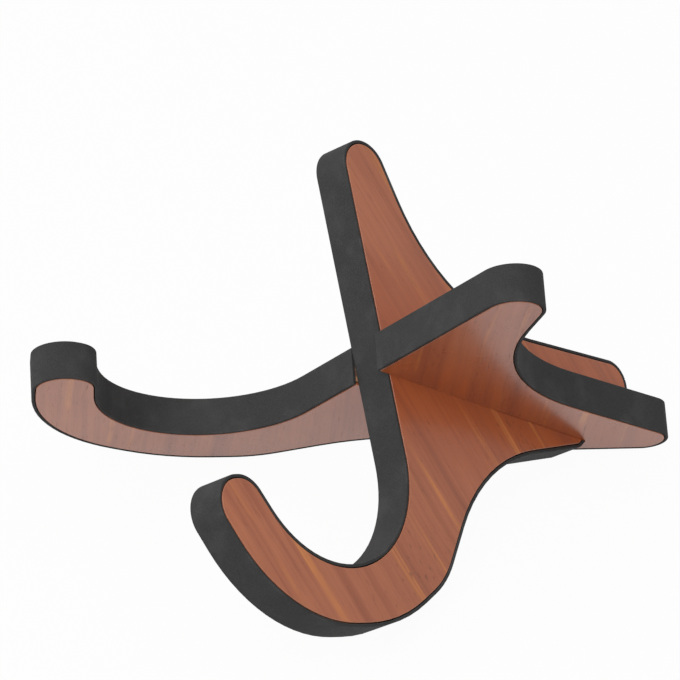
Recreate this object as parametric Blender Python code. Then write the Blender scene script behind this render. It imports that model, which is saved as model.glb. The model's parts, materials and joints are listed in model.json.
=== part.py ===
"""Kalimba stand: two slotted wooden panels that cross at a right angle, edged with foam.

Both panels share one outline. It is drawn flat, in a frame of its own: X runs rearward along
the slot, Y is square to the slot, and the slot's middle line meets the front edge at the origin.
One panel is slotted from its front edge and the other from its foot, so they slide together
along the slots. Together they stand on both hooks and on the feet.
"""

import math
from collections import namedtuple

import bmesh
import bpy
from mathutils import Quaternion, Vector

# Lengths are in metres and angles in radians.

# Build-up of a panel
PANEL_THICKNESS = 0.012
VENEER_THICKNESS = 0.0006
FOAM_THICKNESS = 0.001
GLUE_GAP = 0.0003

# Post: a straight front edge that leans forward, up to a rounded tip
FRONT_LEAN = math.radians(10.8)
POST_HEIGHT = 0.1109
POST_TIP_RADIUS = 0.0084

# Crotch between the post and the leg
CROTCH_ALONG = 0.0299
CROTCH_UP = 0.0195
CROTCH_RADIUS = 0.0635

# Leg: its foot lies flat on the floor, in line with the lowest point of the hook
SOLE_ANGLE = math.radians(40.5)
FOOT_START = 0.0639
FOOT_LENGTH = 0.0518
TOE_RADIUS = 0.0066
FOOT_HEEL_RADIUS = 0.004

# Waist between the leg and the hook
WAIST_ALONG = 0.0413
WAIST_UP = -0.0238
WAIST_RADIUS = 0.065

# Hook: a round cradle that touches the front edge, inside an arm that is widest at its end
CRADLE_RADIUS = 0.0361
CRADLE_DROP = 0.0317
CRADLE_WRAP = math.radians(147.5)
HOOK_LIP = 0.0117
HOOK_END_WIDTH = 0.0193
HOOK_END_SKEW = math.radians(28.6)
HOOK_END_RADIUS = 0.0083
HOOK_BOTTOM_WIDTH = 0.0256
HOOK_BOTTOM_ANGLE = math.radians(-109.5)
HOOK_BOTTOM_RADIUS = 0.0506
HOOK_HEEL_WIDTH = 0.0192
HOOK_HEEL_ANGLE = math.radians(-60.2)
HOOK_HEEL_RADIUS = 0.0606
SHOULDER_WIDTH = 0.0217
SHOULDER_ANGLE = math.radians(-31.4)
SHOULDER_RADIUS = 0.0326

# Slots
FRONT_SLOT_DEPTH = 0.0516
REAR_SLOT_BRIDGE = 0.0484
SLOT_CLEARANCE = 0.0003
SLOT_CORNER_RADIUS = 0.0012
SLOT_OVERRUN = 0.03

# Fineness of the round stretches
ARC_STEP = math.radians(5)
SMOOTH_ANGLE = math.radians(25)
SETTLE_ROUNDS = 4

# Colours and roughness
CORE_FINISH = (0.46, 0.25, 0.13), 0.7
VENEER_FINISH = (0.33, 0.13, 0.07), 0.35
FOAM_FINISH = (0.055, 0.055, 0.055), 0.85

# A third of a turn about the diagonal of the axes stands a flat drawing up: X to Y, and Y to Z.
FLAT_TO_UPRIGHT = Quaternion((1, 1, 1), math.tau / 3)

FOAM_OFFSET = GLUE_GAP + FOAM_THICKNESS
CORE_THICKNESS = PANEL_THICKNESS - 2 * (VENEER_THICKNESS + GLUE_GAP)
SLOT_HALF_WIDTH = PANEL_THICKNESS / 2 + SLOT_CLEARANCE

Corner = namedtuple("Corner", "point radius")
Arc = namedtuple("Arc", "centre radius start sweep")
Station = namedtuple("Station", "point normal")


def heading(angle):
    """The unit vector that points along an angle in the drawing."""
    return Vector((math.cos(angle), math.sin(angle)))


def clear_scene():
    """Remove every object, so that the scene holds only the stand."""
    for item in list(bpy.data.objects):
        bpy.data.objects.remove(item, do_unlink=True)


def tangent_length(corners, index):
    """How far a corner's rounding reaches along each of its two sides."""
    corner = corners[index]
    back = (corners[index - 1].point - corner.point).normalized()
    ahead = (corners[(index + 1) % len(corners)].point - corner.point).normalized()
    return corner.radius / math.tan(back.angle(ahead) / 2)


def fitted_radii(corners):
    """The corners' radii, each limited by the sides that its rounding has to fit on."""
    reach = [tangent_length(corners, index) for index in range(len(corners))]
    share = [1.0] * len(corners)
    for index in range(len(corners)):
        following = (index + 1) % len(corners)
        side = (corners[following].point - corners[index].point).length
        needed = reach[index] + reach[following]
        if needed > side:
            share[index] = min(share[index], side / needed)
            share[following] = min(share[following], side / needed)
    return [corner.radius * part for corner, part in zip(corners, share)]


def corner_arc(previous, corner, following, radius):
    """The arc that rounds a corner of the drawing."""
    back = (previous - corner).normalized()
    ahead = (following - corner).normalized()
    half = back.angle(ahead) / 2
    centre = corner + (back + ahead).normalized() * (radius / math.sin(half))
    first = corner + back * (radius / math.tan(half)) - centre
    last = corner + ahead * (radius / math.tan(half)) - centre
    start = math.atan2(first.y, first.x)
    sweep = (math.atan2(last.y, last.x) - start + math.pi) % math.tau - math.pi
    return Arc(centre, radius, start, sweep)


def corner_arcs(corners):
    """The arcs of all corners, in order."""
    radii = fitted_radii(corners)
    count = len(corners)
    return [
        corner_arc(corners[i - 1].point, corners[i].point, corners[(i + 1) % count].point, radii[i])
        for i in range(count)
    ]


def arc_stations(arc):
    """Points along an arc, each with the direction that faces out of an anticlockwise outline."""
    steps = max(2, 2 * math.ceil(abs(arc.sweep) / ARC_STEP / 2))
    side = math.copysign(1, arc.sweep)
    stations = []
    for step in range(steps + 1):
        out = heading(arc.start + arc.sweep * step / steps)
        stations.append(Station(arc.centre + out * arc.radius, out * side))
    return stations


def furthest_reach(arc, direction):
    """How far an arc reaches in a direction, measured from the origin."""
    offset = (math.atan2(direction.y, direction.x) - arc.start + math.pi) % math.tau - math.pi
    if 0 <= offset * math.copysign(1, arc.sweep) <= abs(arc.sweep):
        return arc.centre.dot(direction) + arc.radius
    ends = [arc.centre + heading(arc.start + turn) * arc.radius for turn in (0, arc.sweep)]
    return max(end.dot(direction) for end in ends)


def front_edge_directions():
    """The front edge's upward direction, and the direction square to it that faces forward."""
    upward = heading(math.pi / 2 + FRONT_LEAN)
    return upward, Vector((-upward.y, upward.x))


def hook_corners():
    """Corners of the hook, anticlockwise from the throat to the shoulder.

    The order runs along the cradle to the arm's end, and back along the outside of the arm.
    """
    upward, forward = front_edge_directions()
    centre = forward * CRADLE_RADIUS - upward * CRADLE_DROP
    touch = math.atan2(-forward.y, -forward.x)
    end_angle = touch - CRADLE_WRAP
    onward = heading(end_angle - math.pi / 2)
    end_inner = centre + heading(end_angle) * CRADLE_RADIUS + onward * HOOK_LIP
    end_outer = end_inner + heading(end_angle - HOOK_END_SKEW) * HOOK_END_WIDTH
    cradle_corner = CRADLE_RADIUS / math.cos(CRADLE_WRAP / 4)

    def outside(width, angle, radius):
        return Corner(centre + heading(angle) * (CRADLE_RADIUS + width), radius)

    def inside(angle):
        return Corner(centre + heading(angle) * cradle_corner, CRADLE_RADIUS)

    throat = inside(touch - CRADLE_WRAP / 4)
    cradle = inside(touch - CRADLE_WRAP * 3 / 4)
    return [
        throat,
        cradle,
        Corner(end_inner, HOOK_END_RADIUS),
        Corner(end_outer, HOOK_END_RADIUS),
        outside(HOOK_BOTTOM_WIDTH, HOOK_BOTTOM_ANGLE, HOOK_BOTTOM_RADIUS),
        outside(HOOK_HEEL_WIDTH, HOOK_HEEL_ANGLE, HOOK_HEEL_RADIUS),
        outside(SHOULDER_WIDTH, SHOULDER_ANGLE, SHOULDER_RADIUS),
    ]


def panel_corners():
    """Every corner of the panel's outline, anticlockwise from the post's tip."""
    upward, _ = front_edge_directions()
    post_tip = Corner(upward * (POST_HEIGHT / math.cos(FRONT_LEAN)), POST_TIP_RADIUS)
    crotch = Corner(Vector((CROTCH_ALONG, CROTCH_UP)), CROTCH_RADIUS)
    waist = Corner(Vector((WAIST_ALONG, WAIST_UP)), WAIST_RADIUS)
    hook = hook_corners()
    along = heading(SOLE_ANGLE)
    down = heading(SOLE_ANGLE - math.pi / 2)
    outside = [*hook[3:], waist]
    reach = max(furthest_reach(arc, down) for arc in corner_arcs(outside)[1:-1])
    foot_heel = Corner(down * reach + along * FOOT_START, FOOT_HEEL_RADIUS)
    toe = Corner(down * reach + along * (FOOT_START + FOOT_LENGTH), TOE_RADIUS)
    return [post_tip, *hook, waist, foot_heel, toe, crotch]


# Places of some corners in the list that panel_corners gives
TIP, THROAT, FOOT_HEEL, TOE = 0, 1, 9, 10


def corner_stations(corners):
    """Stations of the outline, one list for each corner."""
    return [arc_stations(arc) for arc in corner_arcs(corners)]


def mouth_station(before, after):
    """The station on the straight side between two others where the slot's middle crosses it."""
    share = before.point.y / (before.point.y - after.point.y)
    return Station(before.point.lerp(after.point, share), before.normal)


def flat_outline(corners):
    """The whole outline as one list of points."""
    return [station.point for stations in corner_stations(corners) for station in stations]


def set_back(end, neighbour):
    """A strip's end station, moved towards its neighbour by half of the butt joint's gap."""
    share = GLUE_GAP / 2 / (neighbour.point - end.point).length
    return Station(end.point.lerp(neighbour.point, share), end.normal.lerp(neighbour.normal, share))


def foam_stretches():
    """The outline's stretches that the foam strips follow, by name.

    Each panel's foam is cut at its slot and butted at the middle of the toe.
    """
    runs = corner_stations(panel_corners())
    front_mouth = mouth_station(runs[TIP][-1], runs[THROAT][0])
    foot_mouth = mouth_station(runs[FOOT_HEEL][-1], runs[TOE][0])
    middle = len(runs[TOE]) // 2
    seam = runs[TOE][middle]
    before_seam = [*runs[TOE][:middle], set_back(seam, runs[TOE][middle - 1])]
    after_seam = [set_back(seam, runs[TOE][middle + 1]), *runs[TOE][middle + 1 :]]
    over_the_top = [*after_seam, *runs[TOE + 1], *runs[TIP]]
    under = [station for run in runs[THROAT : FOOT_HEEL + 1] for station in run]
    return {
        "front_slot_foam_upper": [*over_the_top, front_mouth],
        "front_slot_foam_lower": [front_mouth, *under, *before_seam],
        "rear_slot_foam_main": [*over_the_top, *under, foot_mouth],
        "rear_slot_foam_foot": [foot_mouth, *before_seam],
    }


def link(name, data, parent, location=(0, 0, 0)):
    """Add an object for a mesh, or an empty, under its parent."""
    item = bpy.data.objects.new(name, data)
    bpy.context.scene.collection.objects.link(item)
    item.parent = parent
    item.location = location
    return item


def finish_mesh(name, form):
    """Turn a bmesh into a smooth-shaded mesh with its faces pointing out."""
    bmesh.ops.recalc_face_normals(form, faces=form.faces)
    mesh = bpy.data.meshes.new(name)
    form.to_mesh(mesh)
    form.free()
    mesh.shade_smooth()
    mesh.set_sharp_from_angle(angle=SMOOTH_ANGLE)
    return mesh


def plate_mesh(name, points, thickness):
    """A flat plate of an outline, from its lower face at zero."""
    form = bmesh.new()
    face = form.faces.new([form.verts.new((point.x, point.y, 0)) for point in points])
    moved = bmesh.ops.extrude_face_region(form, geom=[face])["geom"]
    lifted = [item for item in moved if isinstance(item, bmesh.types.BMVert)]
    bmesh.ops.translate(form, verts=lifted, vec=(0, 0, thickness))
    return finish_mesh(name, form)


def strip_mesh(name, stations):
    """A foam strip that follows a stretch of the outline, as wide as the panel is thick."""
    form = bmesh.new()
    rings = []
    half = PANEL_THICKNESS / 2
    for station in stations:
        inner = station.point + station.normal * GLUE_GAP
        outer = station.point + station.normal * FOAM_OFFSET
        section = [(inner, -half), (outer, -half), (outer, half), (inner, half)]
        rings.append([form.verts.new((point.x, point.y, height)) for point, height in section])
    for ring, following in zip(rings, rings[1:]):
        for side in range(4):
            across = (side + 1) % 4
            form.faces.new([ring[side], ring[across], following[across], following[side]])
    form.faces.new(rings[0])
    form.faces.new(rings[-1])
    return finish_mesh(name, form)


def material(name, colour, roughness):
    """A plain surface of one colour."""
    surface = bpy.data.materials.new(name)
    surface.use_nodes = True
    shader = surface.node_tree.nodes["Principled BSDF"]
    shader.inputs["Base Color"].default_value = (*colour, 1)
    shader.inputs["Roughness"].default_value = roughness
    shader.inputs["Metallic"].default_value = 0
    return surface


def slot_cutter(name, parent, inner_end, mouth):
    """The slot's shape: round-cornered at its inner end, and run out past its mouth."""
    points = [
        Corner(Vector((inner_end, SLOT_HALF_WIDTH)), SLOT_CORNER_RADIUS),
        Corner(Vector((inner_end, -SLOT_HALF_WIDTH)), SLOT_CORNER_RADIUS),
        Corner(Vector((mouth, -SLOT_HALF_WIDTH)), 0),
        Corner(Vector((mouth, SLOT_HALF_WIDTH)), 0),
    ]
    rounded = [station.point for arc in corner_arcs(points)[:2] for station in arc_stations(arc)]
    outline = [*rounded, points[2].point, points[3].point]
    cutter = link(name, plate_mesh(name, outline, 2 * PANEL_THICKNESS), parent)
    cutter.location = (0, 0, -PANEL_THICKNESS)
    cutter.hide_render = True
    cutter.display_type = "WIRE"
    return cutter


def cut_with(item, cutter):
    """Cut a slot out of a piece."""
    cut = item.modifiers.new("slot", "BOOLEAN")
    cut.operation = "DIFFERENCE"
    cut.solver = "EXACT"
    cut.object = cutter


def panel_frame(name, stand, lean, shift):
    """An empty that carries one panel: its X runs down the crossing line and its Y is up in the panel."""
    frame = link(name, None, stand, (0, shift, 0))
    frame.rotation_mode = "QUATERNION"
    frame.rotation_quaternion = Quaternion((0, 1, 0), lean) @ FLAT_TO_UPRIGHT
    return frame


def build_panel(prefix, frame, cutter, surfaces, strips):
    """The core, two veneers and foam strips of one panel."""
    outline = flat_outline(panel_corners())
    veneer_base = PANEL_THICKNESS / 2 - VENEER_THICKNESS
    plates = [
        ("core", CORE_THICKNESS, -CORE_THICKNESS / 2),
        ("veneer_top", VENEER_THICKNESS, veneer_base),
        ("veneer_under", VENEER_THICKNESS, -PANEL_THICKNESS / 2),
    ]
    pieces = []
    for kind, thickness, height in plates:
        name = f"{prefix}_{kind}"
        plate = link(name, plate_mesh(name, outline, thickness), frame, (0, 0, height))
        plate.data.materials.append(surfaces["core" if kind == "core" else "veneer"])
        pieces.append(plate)
    foams = []
    for name, stations in strips.items():
        foam = link(name, strip_mesh(name, stations), frame)
        foam.data.materials.append(surfaces["foam"])
        foams.append(foam)
    for piece in [*pieces, *foams]:
        cut_with(piece, cutter)
    return foams


def lowest_point(foams, in_reach):
    """The lowest world point of the foam within the reach given in the panel's drawing."""
    points = [
        foam.matrix_world @ vertex.co
        for foam in foams
        for vertex in foam.data.vertices
        if in_reach(vertex.co)
    ]
    return min(points, key=lambda point: point.z)


def settle(stand, front_foams, rear_foams):
    """Stand both hooks and the lowest foot on the floor, with the origin under the middle."""

    def at_hook(point):
        return point.x < FOOT_START / 2 and point.y < -CRADLE_DROP

    def at_foot(point):
        return point.x > FOOT_START

    for _ in range(SETTLE_ROUNDS):
        bpy.context.view_layer.update()
        left = lowest_point(front_foams, at_hook)
        right = lowest_point(rear_foams, at_hook)
        foot = lowest_point([*front_foams, *rear_foams], at_foot)
        floor_normal = (right - left).cross(foot - left).normalized()
        turn = floor_normal.rotation_difference(Vector((0, 0, 1)))
        stand.rotation_quaternion = turn @ stand.rotation_quaternion
    bpy.context.view_layer.update()
    foams = [*front_foams, *rear_foams]
    points = [foam.matrix_world @ vertex.co for foam in foams for vertex in foam.data.vertices]
    lows = Vector([min(point[axis] for point in points) for axis in range(3)])
    highs = Vector([max(point[axis] for point in points) for axis in range(3)])
    stand.location -= Vector(((lows.x + highs.x) / 2, (lows.y + highs.y) / 2, lows.z))
    bpy.context.view_layer.update()


def slot_end_gap():
    """Room between the slots' inner ends, which the round corners need to pass each other."""
    reach = SLOT_CORNER_RADIUS - SLOT_CLEARANCE
    rise = SLOT_CORNER_RADIUS - math.sqrt(max(SLOT_CORNER_RADIUS**2 - reach**2, 0))
    return 2 * rise + SLOT_CLEARANCE


def build_stand():
    """Build both panels, seat them in each other's slots and stand them on the floor."""
    clear_scene()
    surfaces = {
        "core": material("plywood_core", *CORE_FINISH),
        "veneer": material("red_brown_veneer", *VENEER_FINISH),
        "foam": material("dark_grey_foam", *FOAM_FINISH),
    }
    pitch = math.atan(math.cos(math.pi / 4) * math.tan(SOLE_ANGLE))
    stand = link("stand", None, None)
    stand.rotation_mode = "QUATERNION"
    stand.rotation_quaternion = Quaternion((1, 0, 0), -pitch)
    seat = FRONT_SLOT_DEPTH - REAR_SLOT_BRIDGE - slot_end_gap()
    front_frame = panel_frame("front_slot_panel", stand, math.pi / 4, 0)
    rear_frame = panel_frame("rear_slot_panel", stand, -math.pi / 4, seat)
    far = max(station.point.x for station in foam_stretches()["front_slot_foam_upper"])
    front_cutter = slot_cutter("front_slot", front_frame, FRONT_SLOT_DEPTH, -SLOT_OVERRUN)
    rear_cutter = slot_cutter("rear_slot", rear_frame, REAR_SLOT_BRIDGE, far + SLOT_OVERRUN)
    strips = foam_stretches()
    front_strips = {name: run for name, run in strips.items() if name.startswith("front")}
    rear_strips = {name: run for name, run in strips.items() if name.startswith("rear")}
    front_foams = build_panel("front_slot", front_frame, front_cutter, surfaces, front_strips)
    rear_foams = build_panel("rear_slot", rear_frame, rear_cutter, surfaces, rear_strips)
    settle(stand, front_foams, rear_foams)


build_stand()
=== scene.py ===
"""Looks of the kalimba stand: lacquered veneer on plywood, edged with dark foam, on a white stage."""

import json
import math
from collections import namedtuple

import bmesh
import bpy
from mathutils import Matrix, Vector


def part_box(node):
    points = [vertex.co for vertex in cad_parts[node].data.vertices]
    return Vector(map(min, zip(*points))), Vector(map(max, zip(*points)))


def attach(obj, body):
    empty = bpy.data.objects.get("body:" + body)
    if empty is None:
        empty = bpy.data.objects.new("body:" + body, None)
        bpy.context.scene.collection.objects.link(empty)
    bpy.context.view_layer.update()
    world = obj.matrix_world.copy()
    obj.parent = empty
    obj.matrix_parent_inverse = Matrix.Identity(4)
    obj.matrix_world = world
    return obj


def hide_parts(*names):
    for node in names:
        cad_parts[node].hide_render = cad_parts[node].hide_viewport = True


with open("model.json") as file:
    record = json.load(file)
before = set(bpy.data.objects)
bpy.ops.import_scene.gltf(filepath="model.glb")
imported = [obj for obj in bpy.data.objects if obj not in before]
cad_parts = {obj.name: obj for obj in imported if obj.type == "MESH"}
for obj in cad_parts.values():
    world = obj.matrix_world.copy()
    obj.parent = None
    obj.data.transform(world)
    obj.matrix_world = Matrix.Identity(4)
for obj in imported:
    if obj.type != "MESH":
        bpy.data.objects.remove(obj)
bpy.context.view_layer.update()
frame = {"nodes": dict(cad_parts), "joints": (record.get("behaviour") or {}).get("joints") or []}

bl_info = {
    "name": "Kalimba Stand",
    "version": (1, 0, 0),
    "blender": (4, 5, 0),
    "location": "3D View > Sidebar > Stand",
    "description": "Dresses a slotted kalimba stand in veneer, plywood and foam",
    "category": "Object",
}

# Lengths are in metres, angles in radians, and the scales of patterns in features per metre.

PANELS = ("front_slot", "rear_slot")
FOAM_STRIPS = {
    "front_slot": ("foam_upper", "foam_lower"),
    "rear_slot": ("foam_main", "foam_foot"),
}

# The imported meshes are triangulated, so their flat faces are joined again before they are dressed.
WELD_DISTANCE = 1e-6
FLAT_ANGLE = math.radians(1)

# Edges that bend by more than the crease angle are eased, in so many steps.
CREASE_ANGLE = math.radians(40)
VENEER_SEGMENTS = 3
CORE_SEGMENTS = 2
FOAM_SEGMENTS = 3

# Edges that still bend by more than this are shaded sharp.
SHARP_ANGLE = math.radians(50)

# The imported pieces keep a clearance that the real, snug slots don't show, so their walls move in.
SLOT_SNUG = 0.00022

# A slot's faces lie this near to its middle, and look into it or hardly away from it.
SLOT_REACH = 0.00635
INWARD_LEAST = -0.1

# The way in which a slot opens: -1 to the front, 1 to the rear
SLOT_OPENS = {"front_slot": -1, "rear_slot": 1}

# How far a foam strip's end comes up to the strip that it meets at the toe
SEAM_CLOSE = 0.00013

# Places of the materials on a veneer leaf and on a foam strip
FACE, RIM = 0, 1
# On the foam, the soft rims are painted pale as a highlight.
SKIN, CUT, HIGHLIT_RIM = 0, 1, 2

# Patterns that stretch along the grain: their scales, their noise, and a shift of their own
Pattern = namedtuple("Pattern", "along across detail roughness shift")
SWAY = Pattern(9, 14, 2, 0.5, 0)
GRAIN = {
    "bands": Pattern(3, 110, 3, 0.55, 0),
    "lines": Pattern(9, 560, 4, 0.6, 0),
    "fibres": Pattern(50, 2400, 3, 0.6, 0),
    "glow": Pattern(4, 210, 2, 0.5, 4.7),
    "pores": Pattern(150, 3300, 1, 0.4, 9.1),
    "flecks": Pattern(300, 900, 2, 0.5, 2.3),
}
SWAY_WIDTH = 0.008

# Each leaf is cut from another place of the same wood.
LEAF_SHIFTS = {"veneer_top": 0.31, "veneer_under": 0.83}
PANEL_SHIFTS = {"front_slot": 0.0, "rear_slot": 1.7}
SIDEWAYS_SHIFT = 0.37

# Patterns that are alike in all directions: scale, detail, roughness and distortion, as far as given
WOOD_CLOUDS = (30, 3, 0.55)
LACQUER_SMEARS = (70, 2, 0.6)
PLY_WAVER = (60, 2)
SAWN_ENDS = (1500, 2, 0.6)
FOAM_PATCHES = (120, 4, 0.6)
FOAM_SMUDGES = (34, 3, 0.55, 0.6)

# The middle of a noise, from which it swings both ways
NOISE_MIDDLE = 0.5

# Where a pattern of the wood fades in: not at all at the first value, and fully at the second
BAND_FADE = (0.46, 0.68)
LINE_FADE = (0.46, 0.72)
GLOW_FADE = (0.57, 0.70)
PORE_FADE = (0.62, 0.74)
FLECK_FADE = (0.62, 0.72)
FIBRE_FADE = (0.40, 0.68)
CLOUD_FADE = (0.3, 0.7)

# Where the clouds or the fine lines let another pattern through, given in the same way
GLOW_CLOUDS = (0.36, 0.60)
FLECK_CLOUDS = (0.50, 0.62)
PORE_LINES = (0.40, 0.60)
STREAK_LINES = (0.25, 0.5)

# How strongly each pattern tints the wood
BAND_SHARE = 0.66
LINE_SHARE = 0.34
CLOUD_TINT = 0.24
# The next share is that of the painted shade by the crossing.
CROSSING_SHADE_TINT = 0.8
DARK_TINT = 0.78
GLOW_TINT = 0.75
STREAK_TINT = 0.75
FIBRE_TINT = 0.18
FLECK_TINT = 0.42
PORE_TINT = 0.28

# The one bright streak of the rear-slotted panel, across and along the grain
STREAK_ACROSS = -0.0190
STREAK_MIDDLE = -0.004
STREAK_REACH = 0.024
STREAK_WIDTH = 0.0017

# Painted shade by the crossing: the wood is painted darker and more orange there, like the shaded
# corner between the panels, from the near distance out to the far one.
CROSSING_SHADE_NEAR = 0.006
CROSSING_SHADE_FAR = 0.042
CROSSING_SHADE_WANDER = 0.02

# The lacquer, and what the smears on it and the open pores change
LACQUER = {"Coat Roughness": 0.14, "Coat IOR": 1.45, "Specular IOR Level": 0.46}
LACQUER_COAT = 0.18
SMEAR_COAT = 0.08
SMEAR_ROUGHNESS = 0.12
PORE_ROUGHNESS = 0.18

# The relief of the wood: its depth, and the shares of pores and fibres in it
GRAIN_DEPTH = 0.00003
PORE_RELIEF = 0.8
FIBRE_RELIEF = 0.2
FIBRE_RELIEF_FADE = (0.4, 0.8)

# The eased rim of a leaf: a painted highlight, paler and greyer, along the edge, which is also
# rougher
RIM_FIBRE_FADE = (0.3, 0.7)
RIM_HIGHLIGHT_FIBRE_TINT = 0.35
RIM_HIGHLIGHT_TINT = 0.45
RIM_ROUGHER = 0.12

# Plywood: the scales of its fibres go along the slot, up the panel and through the plies.
PLYWOOD = {"Specular IOR Level": 0.4}
PLY_STRETCH = (240, 1500, 2600)
PLY_FIBRES = (1, 3, 0.6)
PLY_WANDER = 0.00012
PLY_ROUGHNESS = 0.68
END_FADE = (0.3, 0.7)
END_TINT = 0.7
END_ROUGHNESS = 0.16
GLUE_TINT = 0.8
SAW_DEPTH = 0.00006
PLY_FIBRE_RELIEF = 0.6
END_RELIEF = 0.4

# Foam: its grain is a little coarser than its cells.
FOAM = {"Specular IOR Level": 0.26}
CELLS_TO_GRAIN = 0.9
FOAM_GRAIN = (3, 0.65)
FOAM_GRAIN_FADE = (0.35, 0.68)
FOAM_ROUGHNESS = 0.78
FOAM_GRAIN_ROUGHNESS = 0.14
PATCH_FADE = (0.45, 0.75)
PATCH_ROUGHNESS = 0.08
SMUDGE_FADE = (0.50, 0.72)
SMUDGE_TINT = 0.7
FOAM_DEPTH = 0.00007
DIMPLE_FADE = (0.05, 0.55)
DIMPLE_RELIEF = 0.7
FOAM_GRAIN_RELIEF = 0.3

# How much of each side of the foam is mottled pale. The soft rims are mostly pale, a painted
# highlight along the edges.
SKIN_PALE = 0.35
CUT_PALE = 0.12
HIGHLIT_RIM_PALE = 0.8

# The camera of the photograph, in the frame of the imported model, its lens and sensor in millimetres
CAMERA_PLACE = (0.8572, -0.6461, 0.6881)
CAMERA_FORWARD = (-0.69736, 0.50820, -0.50540)
CAMERA_UP = (-0.44797, 0.24138, 0.86085)
CAMERA_LENS = 215.15
CAMERA_SENSOR = 36

# The stage
FLOOR_SIZE = 6
FLOOR_DROP = 0.0002
FLOOR_COLOUR = (0.6, 0.6, 0.6)
FLOOR_ROUGHNESS = 0.9
WHITE_SHARE = 0.96
LAMP_TARGET = (0, 0, 0.05)
LAMP_SIZE = 0.8
KEY_PLACE = (0.5, -0.9, 1.1)
SIDE_PLACE = (-1.0, -0.3, 0.7)


def colour_property(name, description, default):
    """A colour that a user may change, stored as scene-linear red, green and blue."""
    return bpy.props.FloatVectorProperty(
        name=name, description=description, default=default, size=3, subtype="COLOR", min=0, max=1
    )


def length_property(name, description, default):
    """A length that a user may change, in metres."""
    return bpy.props.FloatProperty(
        name=name,
        description=description,
        default=default,
        min=0,
        subtype="DISTANCE",
        unit="LENGTH",
    )


def angle_property(name, description, default):
    """An angle that a user may change, in radians."""
    return bpy.props.FloatProperty(
        name=name, description=description, default=default, subtype="ANGLE", unit="ROTATION"
    )


def power_property(name, description, default):
    """A lamp's power that a user may change, in watts."""
    return bpy.props.FloatProperty(
        name=name, description=description, default=default, unit="POWER"
    )


def share_property(name, description, default):
    """A share from 0 to 1 that a user may change."""
    return bpy.props.FloatProperty(
        name=name, description=description, default=default, min=0, max=1, subtype="FACTOR"
    )


class VeneerSettings(bpy.types.PropertyGroup):
    """Sizes and colours of the lacquered veneer."""

    base: colour_property("Base", "Middle tone of the wood", (0.462, 0.146, 0.064))
    deep: colour_property("Deep", "Dark growth stripes", (0.235, 0.055, 0.024))
    # Dark orange painted shade for the corner where the panels cross, not a colour of the wood
    # itself.
    crossing_shade: colour_property("Warm", "Wood by the crossing", (0.410, 0.088, 0.014))
    glow: colour_property("Glow", "Light orange streaks", (0.640, 0.225, 0.055))
    pore: colour_property("Pore", "Open grain lines", (0.060, 0.018, 0.012))
    # The edge colour is a painted highlight along the eased rim of each leaf.
    edge: colour_property("Edge", "Worn rim of the leaf", (0.440, 0.190, 0.120))
    roughness: share_property("Roughness", "Roughness of the satin lacquer", 0.29)
    eased: length_property("Eased edge", "Width of the eased rim", 0.0002)
    front_grain: angle_property(
        "Front panel grain",
        "Angle of the grain from the slot in the front-slotted panel",
        math.radians(-48),
    )
    rear_grain: angle_property(
        "Rear panel grain",
        "Angle of the grain from the slot in the rear-slotted panel",
        math.radians(-48),
    )


class PlywoodSettings(bpy.types.PropertyGroup):
    """Sizes and colours of the sawn plywood in the slots."""

    light: colour_property("Light ply", "Plies cut along the grain", (0.420, 0.225, 0.110))
    dark: colour_property("Dark ply", "Plies cut across the grain", (0.235, 0.105, 0.050))
    glue: colour_property("Glue line", "Dark lines between the plies", (0.070, 0.032, 0.018))
    ply: length_property("Ply", "Thickness of one ply", 0.0017)
    glue_line: length_property("Glue line width", "Thickness of a glue line", 0.00016)
    eased: length_property("Eased edge", "Width of the eased rim", 0.00025)


class FoamSettings(bpy.types.PropertyGroup):
    """Sizes and colours of the foam edging."""

    skin: colour_property("Skin", "Face of the foam", (0.043, 0.043, 0.043))
    # The pale colour is the foam's real mottling, and on the soft rims it is also a painted
    # highlight.
    pale: colour_property("Pale", "Lighter cells and rubbed places", (0.072, 0.072, 0.072))
    dark: colour_property("Dark", "Darker cells", (0.030, 0.030, 0.030))
    cut: colour_property("Cut side", "Cut sides of the strip", (0.033, 0.033, 0.034))
    cell: length_property("Cell", "Size of the foam's cells", 0.00035)
    eased: length_property("Soft edge", "Width of the soft rim", 0.00034)


class StageSettings(bpy.types.PropertyGroup):
    """Lights of the studio."""

    key: power_property("Key light", "Power of the key light", 11)
    side: power_property("Side light", "Power of the side light", 4)
    world: bpy.props.FloatProperty(
        name="Surroundings", description="Strength of the even light all round", default=0.62, min=0
    )


class StandSettings(bpy.types.PropertyGroup):
    """All settings of the stand."""

    veneer: bpy.props.PointerProperty(type=VeneerSettings)
    plywood: bpy.props.PointerProperty(type=PlywoodSettings)
    foam: bpy.props.PointerProperty(type=FoamSettings)
    stage: bpy.props.PointerProperty(type=StageSettings)


class Value:
    """A shader socket that takes part in Python expressions."""

    def __init__(self, surface, socket):
        self.surface = surface
        self.socket = socket

    def maths(self, operation, *operands):
        """The result of a Math node."""
        sockets = dict(enumerate(operands))
        return self.surface.node("ShaderNodeMath", {"operation": operation}, sockets)

    def __add__(self, other):
        return self.maths("ADD", self, other)

    __radd__ = __add__

    def __sub__(self, other):
        return self.maths("SUBTRACT", self, other)

    def __rsub__(self, other):
        return self.maths("SUBTRACT", other, self)

    def __mul__(self, other):
        return self.maths("MULTIPLY", self, other)

    __rmul__ = __mul__

    def __truediv__(self, other):
        return self.maths("DIVIDE", self, other)

    def __rtruediv__(self, other):
        return self.maths("DIVIDE", other, self)

    def __mod__(self, other):
        return self.maths("MODULO", self, other)

    def __rmod__(self, other):
        return self.maths("MODULO", other, self)

    def __abs__(self):
        return self.maths("ABSOLUTE", self)

    def __floor__(self):
        return self.maths("FLOOR", self)

    def part(self, name):
        """Another output of the same node."""
        return Value(self.surface, self.socket.node.outputs[name])


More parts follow.
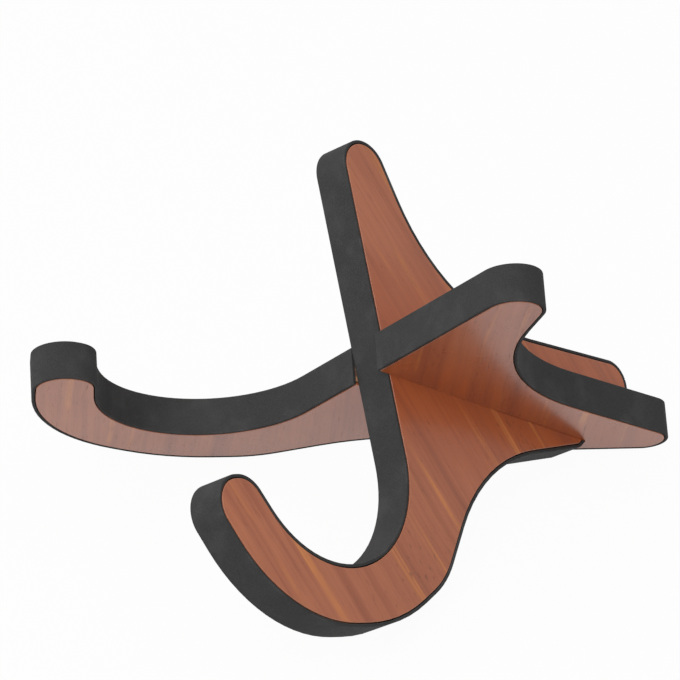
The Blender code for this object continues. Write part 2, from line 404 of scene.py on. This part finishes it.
class Surface:
    """A procedural material, and the one way in which its nodes are added."""

    def __init__(self, name):
        self.material = bpy.data.materials.new(name)
        self.material.use_nodes = True
        self.tree = self.material.node_tree
        self.shader = self.tree.nodes["Principled BSDF"]
        self.output = self.tree.nodes["Material Output"]

    def feed(self, socket, value):
        """Link a value to a socket, or set the socket to a number, a colour or a vector."""
        if isinstance(value, Value):
            self.tree.links.new(value.socket, socket)
        elif socket.type == "RGBA":
            socket.default_value = (*value[:3], 1)
        else:
            socket.default_value = value

    def node(self, kind, settings=None, sockets=None, output=0):
        """Add a node: its settings first, then the values or links of its sockets."""
        made = self.tree.nodes.new(kind)
        for name, value in (settings or {}).items():
            setattr(made, name, value)
        for name, value in (sockets or {}).items():
            self.feed(made.inputs[name], value)
        return Value(self, made.outputs[output])

    def place(self):
        """The point being shaded, in metres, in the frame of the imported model."""
        return self.node("ShaderNodeTexCoord", output="Object")

    def along(self, point, direction):
        """How far a point lies along a direction."""
        settings = {"operation": "DOT_PRODUCT"}
        sockets = {0: point, 1: tuple(direction)}
        return self.node("ShaderNodeVectorMath", settings, sockets, "Value")

    def vector(self, x, y, z):
        """A vector from three values."""
        return self.node("ShaderNodeCombineXYZ", None, {"X": x, "Y": y, "Z": z})

    def noise(self, vector, scale, detail, roughness=0.5, distortion=0.0):
        """Cloudy noise from 0 to 1, with its middle near 0.5."""
        sockets = {
            "Vector": vector,
            "Scale": scale,
            "Detail": detail,
            "Roughness": roughness,
            "Distortion": distortion,
        }
        return self.node("ShaderNodeTexNoise", None, sockets)

    def between(self, value, low, high):
        """A smooth step: 0 below low and 1 above high."""
        settings = {"interpolation_type": "SMOOTHSTEP"}
        sockets = {"Value": value, "From Min": low, "From Max": high}
        return self.node("ShaderNodeMapRange", settings, sockets)

    def mix(self, share, first, second):
        """A colour between two others."""
        settings = {"data_type": "RGBA"}
        sockets = {"Factor": share, 6: first, 7: second}
        return self.node("ShaderNodeMix", settings, sockets, 2)

    def bump(self, height, distance):
        """The normal of a surface whose height, from 0 to 1, stands for a distance."""
        return self.node("ShaderNodeBump", None, {"Height": height, "Distance": distance})

    def finish(self, constants, changing):
        """Set the shader's plain numbers, and link what changes over the surface."""
        for name, value in {**constants, **changing}.items():
            self.feed(self.shader.inputs[name], value)
        return self.material


def body_name(panel):
    """The body that a panel's pieces ride on."""
    return f"{panel}_panel"


def other_panel(panel):
    """The panel that sits in a panel's slot."""
    return PANELS[1 - PANELS.index(panel)]


def largest_face_normal(node):
    """The direction that the largest face of a node looks in."""
    faces = frame["nodes"][node].data.polygons
    return max(faces, key=lambda face: face.area).normal.copy()


def panel_directions(panel):
    """Along the slot to the rear, up in the panel, and out of the side that faces the camera."""
    rearward = -Vector(frame["joints"][0]["axis"]).normalized()
    out = largest_face_normal(f"{panel}_veneer_top").normalized()
    if out.dot(Vector(CAMERA_FORWARD)) > 0:
        out.negate()
    upward = out.cross(rearward)
    if upward.z < 0:
        upward.negate()
    return rearward, upward, out


def middle_plane(panel):
    """A panel's big-face direction, and how far along it the panel's middle lies."""
    _, _, out = panel_directions(panel)
    heights = [out.dot(vertex.co) for vertex in frame["nodes"][f"{panel}_core"].data.vertices]
    return out, (min(heights) + max(heights)) / 2


def is_side(face, out):
    """Whether a face is on the side of a panel, not on one of its big faces."""
    return abs(face.normal.dot(out)) < math.cos(CREASE_ANGLE)


def slot_faces(form, panel):
    """The faces that line a panel's slot. They look into it, towards its middle and its mouth."""
    across, middle = middle_plane(other_panel(panel))
    rearward, _, out = panel_directions(panel)
    mouth = rearward * SLOT_OPENS[panel]
    lining = []
    for face in form.faces:
        height = across.dot(face.calc_center_median()) - middle
        inward = across * (-1 if height > 0 else 1)
        if (
            abs(height) < SLOT_REACH
            and is_side(face, out)
            and face.normal.dot(mouth) > INWARD_LEAST
            and face.normal.dot(inward) > INWARD_LEAST
        ):
            lining.append(face)
    return lining


def close_slot(form, panel):
    """Bring the slot's walls nearer to the panel that sits in it."""
    across, middle = middle_plane(other_panel(panel))
    for vertex in {vertex for face in slot_faces(form, panel) for vertex in face.verts}:
        height = across.dot(vertex.co) - middle
        if abs(height) > SLOT_SNUG:
            vertex.co -= across * math.copysign(SLOT_SNUG, height)


def close_seam(form, panel):
    """Bring a foam strip's end at the toe up to the strip that it meets there."""
    rearward, _, out = panel_directions(panel)
    ends = [
        face
        for face in form.faces
        if is_side(face, out)
        and all(edge.calc_face_angle(0) > CREASE_ANGLE for edge in face.edges)
    ]
    toe = max(ends, key=lambda face: face.calc_center_median().dot(rearward))
    shift = toe.normal * SEAM_CLOSE
    for vertex in toe.verts:
        vertex.co += shift
    return toe


def clean_form(node):
    """A node's mesh with its flat faces joined again."""
    form = bmesh.new()
    form.from_mesh(frame["nodes"][node].data)
    bmesh.ops.remove_doubles(form, verts=form.verts, dist=WELD_DISTANCE)
    bmesh.ops.dissolve_limit(form, angle_limit=FLAT_ANGLE, verts=form.verts, edges=form.edges)
    return form


def ease_edges(form, width, segments, rim, kept):
    """Round the sharp edges, but for those of the kept faces, and give the rounding a material."""
    sharp_faces = set(kept)
    creases = [
        edge
        for edge in form.edges
        if len(edge.link_faces) == 2
        and edge.calc_face_angle(0) > CREASE_ANGLE
        and not sharp_faces.intersection(edge.link_faces)
    ]
    bmesh.ops.bevel(
        form,
        geom=creases,
        offset=width,
        offset_type="OFFSET",
        segments=segments,
        profile=0.5,
        affect="EDGES",
        clamp_overlap=True,
        material=rim,
    )


def dress(node, panel, form, materials):
    """Turn a form into the piece that stands for a node, on the node's body."""
    name = f"{node}_dressed"
    mesh = bpy.data.meshes.new(name)
    form.to_mesh(mesh)
    form.free()
    mesh.shade_smooth()
    mesh.set_sharp_from_angle(angle=SHARP_ANGLE)
    for material in materials:
        mesh.materials.append(material)
    piece = bpy.data.objects.new(name, mesh)
    bpy.context.scene.collection.objects.link(piece)
    level = piece.modifiers.new("flat faces stay flat", "WEIGHTED_NORMAL")
    level.keep_sharp = True
    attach(piece, body_name(panel))
    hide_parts(node)


def grain_directions(panel, angle):
    """The directions along and across the grain, which lies at an angle to the slot."""
    rearward, upward, _ = panel_directions(panel)
    along = rearward * math.cos(angle) + upward * math.sin(angle)
    across = upward * math.cos(angle) - rearward * math.sin(angle)
    return along, across


def grain_patterns(surface, point, along, across, shift):
    """The noise of each pattern of the wood, by name."""
    run = surface.along(point, along) + shift
    wide = surface.along(point, across) + shift * SIDEWAYS_SHIFT

    def pattern(shape, side):
        vector = surface.vector(run * shape.along, side * shape.across, shift + shape.shift)
        return surface.noise(vector, 1, shape.detail, shape.roughness)

    lane = wide + (pattern(SWAY, wide) - NOISE_MIDDLE) * SWAY_WIDTH
    patterns = {name: pattern(shape, lane) for name, shape in GRAIN.items()}
    patterns["clouds"] = surface.noise(point, *WOOD_CLOUDS)
    return patterns


def bright_streak(surface, point, along, across, lines):
    """The share of the one long bright streak, which the fine lines break up."""
    aside = abs(surface.along(point, across) - STREAK_ACROSS)
    onward = abs(surface.along(point, along) - STREAK_MIDDLE)
    taper = surface.between(onward, STREAK_REACH, 0)
    broken = surface.between(lines, *STREAK_LINES)
    return surface.between(aside, STREAK_WIDTH, 0) * taper * broken


def nearness_to_crossing(surface, point, panel, clouds):
    """1 by the panel that crosses this one, and 0 far from it, with a wandering border: where the
    painted shade by the crossing lies.
    """
    across, middle = middle_plane(other_panel(panel))
    aside = abs(surface.along(point, across) - middle + (clouds - NOISE_MIDDLE) * CROSSING_SHADE_WANDER)
    return surface.between(aside, CROSSING_SHADE_FAR, CROSSING_SHADE_NEAR)


def veneer_material(name, settings, panel, angle, shift, is_highlit_rim):
    """Straight-grained red-brown veneer under satin lacquer, or the rim of its leaf, which is painted
    paler and greyer as a highlight along the eased edge.
    """
    along, across = grain_directions(panel, angle)
    surface = Surface(name)
    point = surface.place()
    patterns = grain_patterns(surface, point, along, across, shift)
    lines, fibres, clouds = (patterns[key] for key in ("lines", "fibres", "clouds"))

    bands = surface.between(patterns["bands"], *BAND_FADE) * BAND_SHARE
    dark = bands + surface.between(lines, *LINE_FADE) * LINE_SHARE
    glow = surface.between(patterns["glow"], *GLOW_FADE) * surface.between(clouds, *GLOW_CLOUDS)
    pores = surface.between(patterns["pores"], *PORE_FADE) * surface.between(lines, *PORE_LINES)
    flecks = surface.between(patterns["flecks"], *FLECK_FADE) * surface.between(clouds, *FLECK_CLOUDS)
    crossing_shade = nearness_to_crossing(surface, point, panel, clouds)

    cloudy = surface.between(clouds, *CLOUD_FADE)
    tone = surface.mix(cloudy * CLOUD_TINT, settings.base, settings.deep)
    # Painted shade: by the crossing, the wood is darkened towards a dark orange.
    tone = surface.mix(crossing_shade * CROSSING_SHADE_TINT, tone, settings.crossing_shade)
    tone = surface.mix(dark * DARK_TINT, tone, settings.deep)
    tone = surface.mix(glow * GLOW_TINT, tone, settings.glow)
    if panel == "rear_slot":
        streak = bright_streak(surface, point, along, across, lines)
        tone = surface.mix(streak * STREAK_TINT, tone, settings.glow)
    tone = surface.mix(surface.between(fibres, *FIBRE_FADE) * FIBRE_TINT, tone, settings.deep)
    tone = surface.mix(flecks * FLECK_TINT, tone, settings.pore)
    tone = surface.mix(pores * PORE_TINT, tone, settings.pore)

    smears = surface.noise(point, *LACQUER_SMEARS) - NOISE_MIDDLE
    roughness = settings.roughness + smears * SMEAR_ROUGHNESS + pores * PORE_ROUGHNESS
    # The rim is painted paler and greyer, a painted highlight along the eased edge, streaked with the
    # fibres.
    if is_highlit_rim:
        rim_highlight = surface.between(fibres, *RIM_FIBRE_FADE) * RIM_HIGHLIGHT_FIBRE_TINT + RIM_HIGHLIGHT_TINT
        tone = surface.mix(rim_highlight, tone, settings.edge)
        roughness = roughness + RIM_ROUGHER
    raised = surface.between(fibres, *FIBRE_RELIEF_FADE)
    height = 1 - pores * PORE_RELIEF - raised * FIBRE_RELIEF
    changing = {
        "Base Color": tone,
        "Roughness": roughness,
        "Coat Weight": LACQUER_COAT + smears * SMEAR_COAT,
        "Normal": surface.bump(height, GRAIN_DEPTH),
    }
    return surface.finish(LACQUER, changing)


def plywood_material(name, settings, panel):
    """Sawn plies, light and dark by turns, with thin glue lines, as the slots show them."""
    rearward, upward, out = panel_directions(panel)
    low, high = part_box(f"{panel}_core")
    centre = (low + high) / 2
    surface = Surface(name)
    point = surface.place()
    waver = surface.noise(point, *PLY_WAVER) - NOISE_MIDDLE
    depth = surface.along(point, out) - centre.dot(out) + waver * PLY_WANDER
    turn = depth / settings.ply
    layer = math.floor(turn)
    within = abs(turn - layer - 0.5)
    glue = surface.between(within, 0.5 - settings.glue_line / settings.ply, 0.5)
    ways = (surface.along(point, rearward), surface.along(point, upward), depth)
    stretched = surface.vector(*(way * scale for way, scale in zip(ways, PLY_STRETCH)))
    fibres = surface.noise(stretched, *PLY_FIBRES)
    ends = surface.noise(point, *SAWN_ENDS)
    light = surface.mix(fibres, settings.dark, settings.light)
    dark = surface.mix(surface.between(ends, *END_FADE) * END_TINT, settings.dark, settings.glue)
    tone = surface.mix(abs(layer % 2), light, dark)
    height = fibres * PLY_FIBRE_RELIEF + ends * END_RELIEF
    changing = {
        "Base Color": surface.mix(glue * GLUE_TINT, tone, settings.glue),
        "Roughness": PLY_ROUGHNESS + ends * END_ROUGHNESS,
        "Normal": surface.bump(height, SAW_DEPTH),
    }
    return surface.finish(PLYWOOD, changing)


def foam_material(name, settings, colour, pale_share):
    """Matt closed-cell foam with a mottled skin."""
    surface = Surface(name)
    point = surface.place()
    cells = surface.node(
        "ShaderNodeTexVoronoi",
        {"feature": "F1"},
        {"Vector": point, "Scale": 1 / settings.cell},
        "Distance",
    )
    grain = surface.noise(point, CELLS_TO_GRAIN / settings.cell, *FOAM_GRAIN)
    patches = surface.noise(point, *FOAM_PATCHES)
    smudges = surface.noise(point, *FOAM_SMUDGES)
    tone = surface.mix(surface.between(grain, *FOAM_GRAIN_FADE), settings.dark, colour)
    for share in (
        surface.between(patches, *PATCH_FADE) * pale_share,
        surface.between(smudges, *SMUDGE_FADE) * pale_share * SMUDGE_TINT,
    ):
        tone = surface.mix(share, tone, settings.pale)
    unevenness = grain * FOAM_GRAIN_ROUGHNESS + (patches - NOISE_MIDDLE) * PATCH_ROUGHNESS
    height = surface.between(cells, *DIMPLE_FADE) * DIMPLE_RELIEF + grain * FOAM_GRAIN_RELIEF
    changing = {
        "Base Color": tone,
        "Roughness": FOAM_ROUGHNESS + unevenness,
        "Normal": surface.bump(height, FOAM_DEPTH),
    }
    return surface.finish(FOAM, changing)


def floor_material():
    """A pale floor that is white to the camera and in gloss, and keeps its shadow."""
    surface = Surface("white_floor")
    rays = surface.node("ShaderNodeLightPath", output="Is Camera Ray")
    seen = rays
    for kind in ("Is Glossy Ray", "Is Transmission Ray"):
        seen = seen.maths("MAXIMUM", seen, rays.part(kind))
    surface.finish({"Base Color": FLOOR_COLOUR, "Roughness": FLOOR_ROUGHNESS}, {})
    lit = Value(surface, surface.shader.outputs[0])
    white = surface.node("ShaderNodeEmission", None, {"Color": (1, 1, 1), "Strength": 1.0})
    sockets = {0: seen * WHITE_SHARE, 1: lit, 2: white}
    mixed = surface.node("ShaderNodeMixShader", None, sockets)
    surface.feed(surface.output.inputs["Surface"], mixed)
    return surface.material


def build_veneer(panel):
    """Both leaves of a panel. The grain of the far one is the mirror image of the near one's."""
    settings = bpy.context.scene.stand.veneer
    near_angle = settings.front_grain if panel == "front_slot" else settings.rear_grain
    for leaf, leaf_shift in LEAF_SHIFTS.items():
        node = f"{panel}_{leaf}"
        angle = near_angle if leaf == "veneer_top" else -near_angle
        shift = leaf_shift + PANEL_SHIFTS[panel]
        materials = [
            veneer_material(f"{node}_face", settings, panel, angle, shift, False),
            veneer_material(f"{node}_rim", settings, panel, angle, shift, True),
        ]
        form = clean_form(node)
        close_slot(form, panel)
        ease_edges(form, settings.eased, VENEER_SEGMENTS, RIM, slot_faces(form, panel))
        dress(node, panel, form, materials)


def build_core(panel):
    """The plywood core of a panel."""
    settings = bpy.context.scene.stand.plywood
    node = f"{panel}_core"
    form = clean_form(node)
    close_slot(form, panel)
    ease_edges(form, settings.eased, CORE_SEGMENTS, FACE, slot_faces(form, panel))
    dress(node, panel, form, [plywood_material(f"{node}_plies", settings, panel)])


def build_foam(panel):
    """The foam strips of a panel: a skin outside, cut sides, and soft edges between them, painted
    pale as a highlight.
    """
    settings = bpy.context.scene.stand.foam
    _, _, out = panel_directions(panel)
    materials = [
        foam_material(f"{panel}_foam_skin", settings, settings.skin, SKIN_PALE),
        foam_material(f"{panel}_foam_cut", settings, settings.cut, CUT_PALE),
        # The soft rims are painted pale, a painted highlight along the edges.
        foam_material(f"{panel}_foam_rubbed", settings, settings.skin, HIGHLIT_RIM_PALE),
    ]
    for strip in FOAM_STRIPS[panel]:
        node = f"{panel}_{strip}"
        form = clean_form(node)
        for face in form.faces:
            face.material_index = SKIN if is_side(face, out) else CUT
        close_slot(form, panel)
        toe = close_seam(form, panel)
        kept = [toe, *slot_faces(form, panel)]
        ease_edges(form, settings.eased, FOAM_SEGMENTS, HIGHLIT_RIM, kept)
        dress(node, panel, form, materials)


def build_world(strength):
    """Even white light from all round."""
    world = bpy.data.worlds.new("studio")
    world.use_nodes = True
    background = world.node_tree.nodes["Background"]
    background.inputs["Color"].default_value = (1, 1, 1, 1)
    background.inputs["Strength"].default_value = strength
    bpy.context.scene.world = world


def build_floor():
    """The floor, just below the stand."""
    bpy.ops.mesh.primitive_plane_add(size=FLOOR_SIZE, location=(0, 0, -FLOOR_DROP))
    floor = bpy.context.active_object
    floor.name = "floor"
    floor.data.materials.append(floor_material())


def build_lamp(name, place, power):
    """A square lamp that looks at the stand."""
    data = bpy.data.lights.new(name, "AREA")
    data.size = LAMP_SIZE
    data.energy = power
    lamp = bpy.data.objects.new(name, data)
    bpy.context.scene.collection.objects.link(lamp)
    lamp.location = place
    lamp.rotation_mode = "QUATERNION"
    lamp.rotation_quaternion = (Vector(LAMP_TARGET) - Vector(place)).to_track_quat("-Z", "Y")


def build_camera():
    """The photograph's camera."""
    forward = Vector(CAMERA_FORWARD).normalized()
    upward = Vector(CAMERA_UP)
    upward = (upward - forward * upward.dot(forward)).normalized()
    right = forward.cross(upward)
    data = bpy.data.cameras.new("photo_camera")
    data.lens = CAMERA_LENS
    data.sensor_width = CAMERA_SENSOR
    camera = bpy.data.objects.new("photo_camera", data)
    bpy.context.scene.collection.objects.link(camera)
    turn = Matrix((right, upward, -forward)).transposed()
    camera.matrix_world = Matrix.Translation(CAMERA_PLACE) @ turn.to_4x4()
    bpy.context.scene.camera = camera


class StandOperator(bpy.types.Operator):
    """One step of the work on the stand or its stage, which a user can undo."""

    bl_options = {"REGISTER", "UNDO"}


class STAND_OT_veneer(StandOperator):
    """Lay the lacquered veneer on both sides of both panels"""

    bl_idname = "stand.veneer"
    bl_label = "Veneer"

    def execute(self, context):
        for panel in PANELS:
            build_veneer(panel)
        return {"FINISHED"}


class STAND_OT_core(StandOperator):
    """Make the plywood cores that the slots show"""

    bl_idname = "stand.core"
    bl_label = "Plywood cores"

    def execute(self, context):
        for panel in PANELS:
            build_core(panel)
        return {"FINISHED"}


class STAND_OT_foam(StandOperator):
    """Wrap the foam strips round both panels"""

    bl_idname = "stand.foam"
    bl_label = "Foam edging"

    def execute(self, context):
        for panel in PANELS:
            build_foam(panel)
        return {"FINISHED"}


class STAND_OT_stage(StandOperator):
    """Set up the white floor, the soft light and the camera"""

    bl_idname = "stand.stage"
    bl_label = "Stage"

    def execute(self, context):
        settings = context.scene.stand.stage
        context.scene.view_settings.view_transform = "Standard"
        build_world(settings.world)
        build_floor()
        build_lamp("key_lamp", KEY_PLACE, settings.key)
        build_lamp("side_lamp", SIDE_PLACE, settings.side)
        build_camera()
        return {"FINISHED"}


STEPS = {
    "veneer": STAND_OT_veneer,
    "plywood": STAND_OT_core,
    "foam": STAND_OT_foam,
    "stage": STAND_OT_stage,
}


class STAND_PT_sidebar(bpy.types.Panel):
    """Settings and steps of the stand"""

    bl_label = "Kalimba Stand"
    bl_idname = "STAND_PT_sidebar"
    bl_space_type = "VIEW_3D"
    bl_region_type = "UI"
    bl_category = "Stand"

    def draw(self, context):
        for group, operator in STEPS.items():
            box = self.layout.box()
            settings = getattr(context.scene.stand, group)
            for name in settings.bl_rna.properties.keys():
                if name not in ("rna_type", "name"):
                    box.prop(settings, name)
            box.operator(operator.bl_idname)


CLASSES = (
    VeneerSettings,
    PlywoodSettings,
    FoamSettings,
    StageSettings,
    StandSettings,
    *STEPS.values(),
    STAND_PT_sidebar,
)


def register():
    """Add the classes, and the stand's settings, to Blender."""
    for item in CLASSES:
        bpy.utils.register_class(item)
    bpy.types.Scene.stand = bpy.props.PointerProperty(type=StandSettings)


def unregister():
    """Take the stand's settings, and the classes, out again."""
    del bpy.types.Scene.stand
    for item in reversed(CLASSES):
        bpy.utils.unregister_class(item)


def main():
    """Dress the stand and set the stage."""
    register()
    bpy.ops.stand.veneer()
    bpy.ops.stand.core()
    bpy.ops.stand.foam()
    bpy.ops.stand.stage()


if __name__ == "__main__":
    main()
